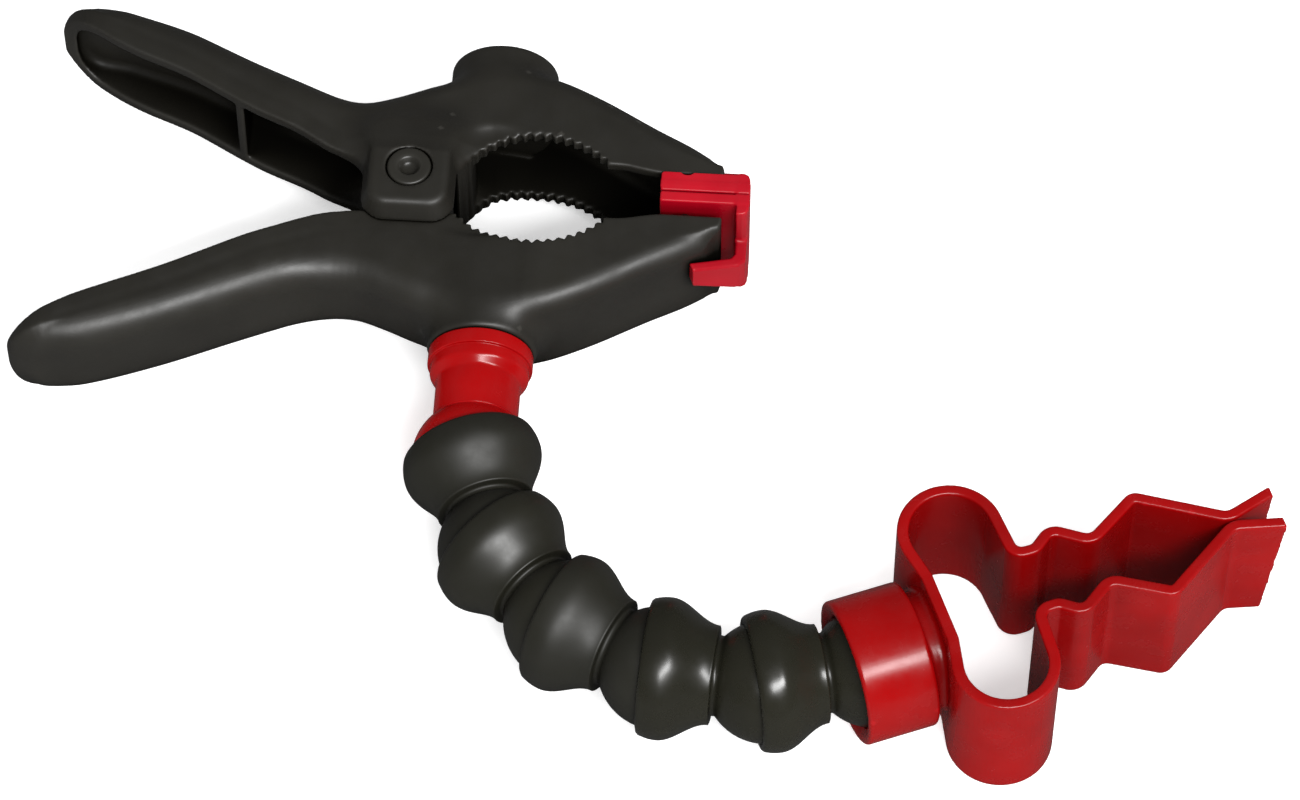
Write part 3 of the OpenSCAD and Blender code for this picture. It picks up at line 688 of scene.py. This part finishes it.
# ---------- materials ----------
class Nodes:
    """Short ways to build a node material."""

    def __init__(self, name):
        self.mat = bpy.data.materials.new(name)
        self.mat.use_nodes = True
        self.tree = self.mat.node_tree
        self.shader = self.tree.nodes["Principled BSDF"]
        self.coords = self.add("ShaderNodeTexCoord").outputs["Object"]

    def add(self, kind, **values):
        node = self.tree.nodes.new(kind)
        for key, value in values.items():
            setattr(node, key, value)
        return node

    def link(self, out, to):
        self.tree.links.new(out, to)

    def noise(self, scale, detail=3.0, rough=0.5, stretch=None):
        node = self.add("ShaderNodeTexNoise")
        node.inputs["Scale"].default_value = scale
        node.inputs["Detail"].default_value = detail
        node.inputs["Roughness"].default_value = rough
        source = self.coords
        if stretch:
            mapping = self.add("ShaderNodeMapping")
            mapping.inputs["Scale"].default_value = stretch
            self.link(source, mapping.inputs["Vector"])
            source = mapping.outputs["Vector"]
        self.link(source, node.inputs["Vector"])
        return node.outputs["Fac"]

    def ramp(self, fac, lo, hi, a, b):
        node = self.add("ShaderNodeMapRange")
        node.inputs["From Min"].default_value = lo
        node.inputs["From Max"].default_value = hi
        node.inputs["To Min"].default_value = a
        node.inputs["To Max"].default_value = b
        self.link(fac, node.inputs["Value"])
        return node.outputs["Result"]

    def mix(self, fac, a, b):
        node = self.add("ShaderNodeMix", data_type="RGBA")
        for value, socket in ((a, node.inputs[6]), (b, node.inputs[7])):
            if hasattr(value, "node"):
                self.link(value, socket)
            else:
                socket.default_value = (*value, 1)
        self.link(fac, node.inputs[0])
        return node.outputs[2]

    def bump(self, height, distance, after=None):
        node = self.add("ShaderNodeBump")
        node.inputs["Distance"].default_value = distance
        node.inputs["Strength"].default_value = 1.0
        self.link(height, node.inputs["Height"])
        if after is not None:
            self.link(after, node.inputs["Normal"])
        return node.outputs["Normal"]

    def set(self, **values):
        for key, value in values.items():
            socket = self.shader.inputs[key.replace("_", " ")]
            if hasattr(value, "node"):
                self.link(value, socket)
            else:
                socket.default_value = value


def plastic(name, colour, worn, rough, grain, waves, painted_recess_shade=0.6, shine=0.5):
    """Moulded plastic: slight colour drift, fine grain, sink-mark waves, paler edges, and painted shade that
    darkens the recesses.

    grain is (size, depth) and waves a depth, in millimetres; recess is how bright the recesses stay."""
    n = Nodes(name)
    drift = n.ramp(n.noise(60, 2), 0.35, 0.65, 0.0, 1.0)
    base = n.mix(drift, [c * 0.88 for c in colour], [min(1, c * 1.1) for c in colour])
    point = n.add("ShaderNodeNewGeometry").outputs["Pointiness"]
    edge = n.ramp(point, 0.53, 0.60, 0.0, 0.45)
    # painted shade: ambient occlusion darkens the colour, towards a tenth of it, and takes the reflections
    # out of recesses, creases and the hollows between parts
    occlusion = n.add("ShaderNodeAmbientOcclusion")
    occlusion.samples = 24
    occlusion.inputs["Distance"].default_value = 0.028
    painted_shade_mask = n.ramp(occlusion.outputs["AO"], 0.3, 0.75, painted_recess_shade, 1.0)
    n.set(Base_Color=n.mix(painted_shade_mask, [c * 0.1 for c in colour], n.mix(edge, base, worn)))
    n.set(Specular_IOR_Level=n.ramp(painted_shade_mask, 0.3, 1.0, 0.0, shine))
    smudge = n.noise(180, 4, 0.6)
    n.set(Roughness=n.ramp(smudge, 0.3, 0.7, rough - 0.05, rough + 0.07))
    size, depth = grain
    fine = n.noise(1000 / size, 2, 0.6)
    wavy = n.bump(n.noise(70, 1, 0.4), waves * MM)
    n.set(Normal=n.bump(fine, depth * MM, wavy), IOR=1.5)
    return n.mat


def metal(name, colour, rough, stretch):
    """Drawn wire: streaks in colour, roughness and height."""
    n = Nodes(name)
    streaks = n.noise(400, 3, 0.6, stretch)
    n.set(Base_Color=n.mix(streaks, [c * 0.8 for c in colour], colour), Metallic=1.0)
    n.set(Roughness=n.ramp(streaks, 0.3, 0.7, rough - 0.08, rough + 0.1))
    n.set(Normal=n.bump(streaks, 0.01 * MM))
    return n.mat


# the shade painted into the hollows is darkest on the nylon, where the pockets are painted nearly black, and
# lightest on the clip
NYLON = plastic("nylon_charcoal", (0.0145, 0.0133, 0.0102), (0.045, 0.042, 0.036), 0.45,
                grain=(0.45, 0.012), waves=0.10, painted_recess_shade=0.1, shine=0.55)
# the first three segments are duller than the last two
HOSE = [plastic(f"acetal_black_{rough}", (0.0118, 0.0113, 0.0073), (0.034, 0.032, 0.025), rough / 100,
                grain=(0.6, 0.004), waves=0.10) for rough in (50, 42, 50, 28, 26)]
RED = plastic("acetal_red", (0.27, 0.0005, 0.0010), (0.40, 0.003, 0.005), 0.22,
              grain=(0.6, 0.003), waves=0.06, shine=0.32)
CLIP_RED = plastic("clip_red", (0.205, 0.0004, 0.0007), (0.32, 0.003, 0.005), 0.24,
                   grain=(0.6, 0.003), waves=0.06, painted_recess_shade=0.85, shine=0.32)
PAD = plastic("pad_red", (0.32, 0.0008, 0.008), (0.44, 0.004, 0.012), 0.32,
              grain=(0.5, 0.006), waves=0.05, shine=0.3)
RIVET = plastic("rivet_black", (0.018, 0.0168, 0.0135), (0.07, 0.067, 0.058), 0.38,
                grain=(0.3, 0.004), waves=0.02)
STEEL = metal("spring_wire", (0.46, 0.46, 0.47), 0.3, (1, 1, 6))


def finish_piece(obj, body, material, slot, *nodes):
    """Gives a piece its material and its body, and hides the CAD nodes it stands for."""
    obj.data.materials.append(material)
    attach(obj, body)
    if nodes:
        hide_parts(*nodes)


front, rear = make_levers()
finish_piece(front, "front_clamp", NYLON, "clamp_nylon", "front_lever")
finish_piece(rear, "rear_clamp", NYLON, "clamp_nylon", "rear_lever")
pad_front, pad_rear = make_pads()
finish_piece(pad_front, "front_pad", PAD, "pad_red", "front_jaw_pad")
finish_piece(pad_rear, "rear_pad", PAD, "pad_red", "rear_jaw_pad")
finish_piece(make_rivet(), "front_clamp", RIVET, "rivet_steel", "pivot_rivet")
coil, leg = make_spring()
finish_piece(coil, "front_clamp", STEEL, "spring_steel", "torsion_spring")
finish_piece(leg, "rear_clamp", STEEL, "spring_steel")
finish_piece(make_connector(), "front_clamp", RED, "acetal_red", "hose_connector")
for i in range(5):
    finish_piece(make_segment(i), f"segment_{i + 1}", HOSE[i], "hose_black", f"hose_segment_{i + 1}")
finish_piece(make_clip(), "clip", CLIP_RED, "acetal_red", "airbrush_clip")


# ---------- floor, light, camera ----------
# brightness of the room, and how much of room and floor is left in reflections
ROOM, ROOM_IN_REFLECTION = 0.9, 0.04
FLOOR_IN_REFLECTION, FLOOR_GLOW = 0.06, 0.4


def make_stage():
    """Wide floor: pale to the eye, dim in reflections, with a faint glow that keeps the shadows light."""
    half = 3.0
    mesh = bpy.data.meshes.new("floor")
    corners = [(-half, -half, 0), (half, -half, 0), (half, half, 0), (-half, half, 0)]
    mesh.from_pydata(corners, [], [(0, 1, 2, 3)])
    floor = bpy.data.objects.new("floor", mesh)
    bpy.context.scene.collection.objects.link(floor)
    n = Nodes("floor_white")
    glossy_ray = n.add("ShaderNodeLightPath").outputs["Is Glossy Ray"]
    seen = n.ramp(glossy_ray, 0.0, 1.0, 1.0, FLOOR_IN_REFLECTION)
    n.set(Base_Color=n.mix(seen, (0.0, 0.0, 0.0), (0.93, 0.93, 0.93)))
    n.set(Roughness=0.9, Specular_IOR_Level=0.1)
    n.set(Emission_Color=(1, 1, 1, 1), Emission_Strength=n.ramp(seen, 0.0, 1.0, 0.0, FLOOR_GLOW))
    # found by bounced rays only, so that the dimming holds for every reflection
    n.mat.cycles.emission_sampling = "NONE"
    mesh.materials.append(n.mat)


def make_world():
    """White room for the eye and for soft light, dim in reflections so that dark plastic stays dark."""
    world = bpy.data.worlds.new("studio")
    world.use_nodes = True
    tree = world.node_tree
    light = tree.nodes["Background"]
    light.inputs[0].default_value = (1, 1, 1, 1)
    path = tree.nodes.new("ShaderNodeLightPath")
    dim = tree.nodes.new("ShaderNodeMapRange")
    dim.inputs["To Min"].default_value = ROOM
    dim.inputs["To Max"].default_value = ROOM_IN_REFLECTION
    tree.links.new(path.outputs["Is Glossy Ray"], dim.inputs["Value"])
    tree.links.new(dim.outputs["Result"], light.inputs[1])
    world.cycles.sampling_method = "NONE"
    bpy.context.scene.world = world
    bpy.context.scene.view_settings.view_transform = "Standard"


def make_softbox():
    """Long softbox in front of the stand, above and to its right."""
    lo, hi = np.array(cad_box[0]), np.array(cad_box[1])
    mid = Vector((*((lo + hi) / 2)[:2], MID_Z * MM))
    data = bpy.data.lights.new("softbox", "AREA")
    data.shape = "RECTANGLE"
    data.size, data.size_y = 0.85, 0.22
    data.energy = 16
    obj = bpy.data.objects.new("softbox", data)
    bpy.context.scene.collection.objects.link(obj)
    obj.location = mid + Vector((0.34, -0.62, 0.84))
    obj.rotation_euler = (mid - obj.location).to_track_quat("-Z", "Y").to_euler()


def make_camera():
    """Long lens, high and almost square on."""
    elevation, azimuth, distance = math.radians(58), math.radians(3.5), 1.18
    back = Vector((math.sin(azimuth) * math.cos(elevation), -math.cos(azimuth) * math.cos(elevation),
                   math.sin(elevation)))
    target = Vector((49.4 * MM, -41.4 * MM, MID_Z * MM))
    data = bpy.data.cameras.new("camera")
    data.lens, data.sensor_width, data.sensor_fit = 169.9, 36, "HORIZONTAL"
    data.clip_end = 10
    cam = bpy.data.objects.new("camera", data)
    bpy.context.scene.collection.objects.link(cam)
    cam.location = target + back * distance
    cam.rotation_euler = (-back).to_track_quat("-Z", "Y").to_euler()
    bpy.context.scene.camera = cam


make_stage()
make_softbox()
make_world()
make_camera()
